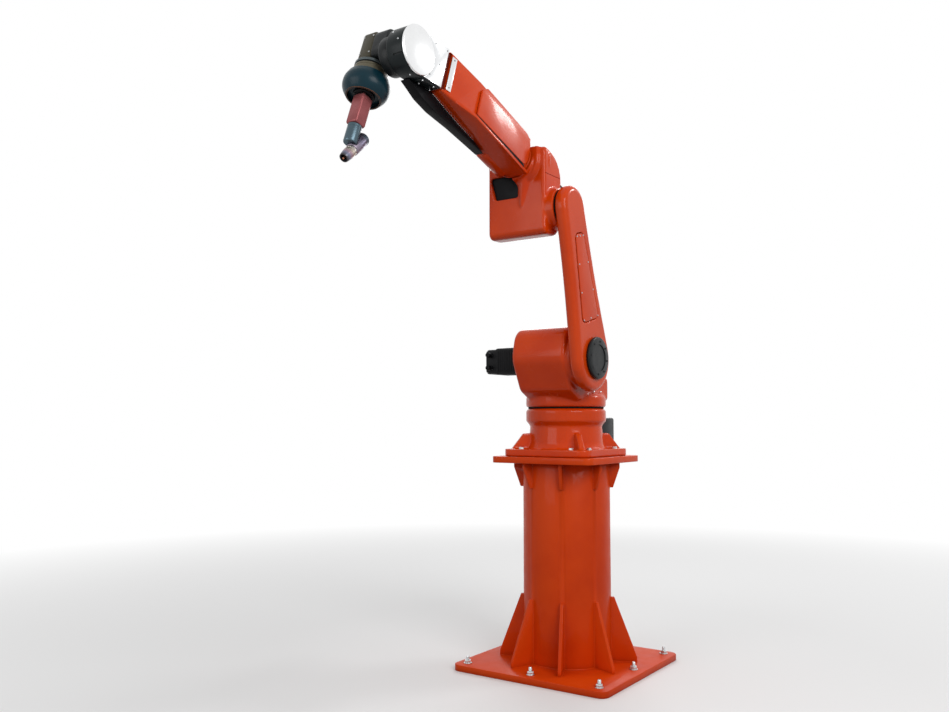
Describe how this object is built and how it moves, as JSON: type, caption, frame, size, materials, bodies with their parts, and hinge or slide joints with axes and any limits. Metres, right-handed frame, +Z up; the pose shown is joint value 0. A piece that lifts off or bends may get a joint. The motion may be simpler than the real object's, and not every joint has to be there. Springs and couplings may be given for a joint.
{
  "type": "welding robot arm",
  "caption": "Articulated arc-welding robot arm on a steel riser, with a lower arm set to one side, a boxed forearm, an offset wrist, a bell-shaped shroud and a bent torch.",
  "frame": {"origin": "centre of the underside of the riser's floor plate, on the first joint's upright axis, at floor level", "axes": "+X forward, the way the arm reaches at rest; +Y to the arm's left, the side that the lower arm stands on; +Z up"},
  "size_m": [1.8089, 0.8, 2.7295],
  "materials": {
    "orange_paint": "gloss orange paint on cast and welded metal",
    "dark_grey_paint": "satin dark grey paint",
    "black_plastic": "satin black housings",
    "bare_aluminium": "machined, bare",
    "wrist_metal": "dull olive-grey anodised",
    "shroud_rubber": "satin dark rubber",
    "torch_red": "satin copper red",
    "brass": "dull brass",
    "copper": "heat-stained copper"
  },
  "bodies": {
    "base": {"floor_plate": "orange_paint", "riser_column": "orange_paint", "riser_door": "dark_grey_paint", "riser_top_plate": "orange_paint", "base_casting": "orange_paint", "connector_box": "dark_grey_paint", "connector_panel": "black_plastic"},
    "carousel": {"carousel_casting": "orange_paint", "shoulder_motor": "black_plastic", "turret_motor": "black_plastic"},
    "lower_arm": {"lower_arm_casting": "orange_paint", "lower_arm_cover": "orange_paint", "shoulder_cap": "dark_grey_paint"},
    "elbow": {"elbow_casting": "orange_paint", "elbow_pocket_cover": "black_plastic", "roll_motor": "black_plastic", "bend_motor": "black_plastic", "twist_motor": "black_plastic"},
    "forearm": {"forearm_casting": "orange_paint", "forearm_flange": "orange_paint", "side_panel_left": "orange_paint", "side_panel_right": "orange_paint", "wrist_block": "dark_grey_paint", "wrist_side_plate": "bare_aluminium", "wrist_disc": "bare_aluminium", "front_strap": "bare_aluminium", "hose_guard": "black_plastic"},
    "wrist": {"wrist_rotor": "dark_grey_paint", "wrist_housing": "wrist_metal", "wrist_flange": "bare_aluminium"},
    "tool": {"tool_collar": "wrist_metal", "bell_shroud": "shroud_rubber", "torch_clamp": "wrist_metal", "torch_body": "torch_red", "torch_neck": "brass", "nozzle_holder": "torch_red", "gas_nozzle": "copper", "contact_tip": "copper"}
  },
  "joints": [
    {"name": "axis_1", "type": "hinge", "parent": "base", "child": "carousel", "pos_m": [0, 0, 1.23], "axis": [0, 0, 1], "range_deg": [-170, 170]},
    {"name": "axis_2", "type": "hinge", "parent": "carousel", "child": "lower_arm", "pos_m": [0.16, 0, 1.46], "axis": [0, 1, 0], "range_deg": [-55, 50]},
    {"name": "axis_3", "type": "hinge", "parent": "lower_arm", "child": "elbow", "pos_m": [0.34117, 0, 2.13615], "axis": [0, -1, 0], "range_deg": [-85, 80]},
    {"name": "axis_4", "type": "hinge", "parent": "elbow", "child": "forearm", "pos_m": [0.28864, 0, 2.29783], "axis": [0.9511, 0, 0.309], "range_deg": [-150, 150]},
    {"name": "axis_5", "type": "hinge", "parent": "forearm", "child": "wrist", "pos_m": [1.23019, 0, 2.60376], "axis": [0, 1, 0], "range_deg": [-190, 30]},
    {"name": "axis_6", "type": "hinge", "parent": "wrist", "child": "tool", "pos_m": [1.23019, -0.187, 2.60376], "axis": [0.342, 0, -0.9397], "range_deg": [-180, 180]}
  ]
}
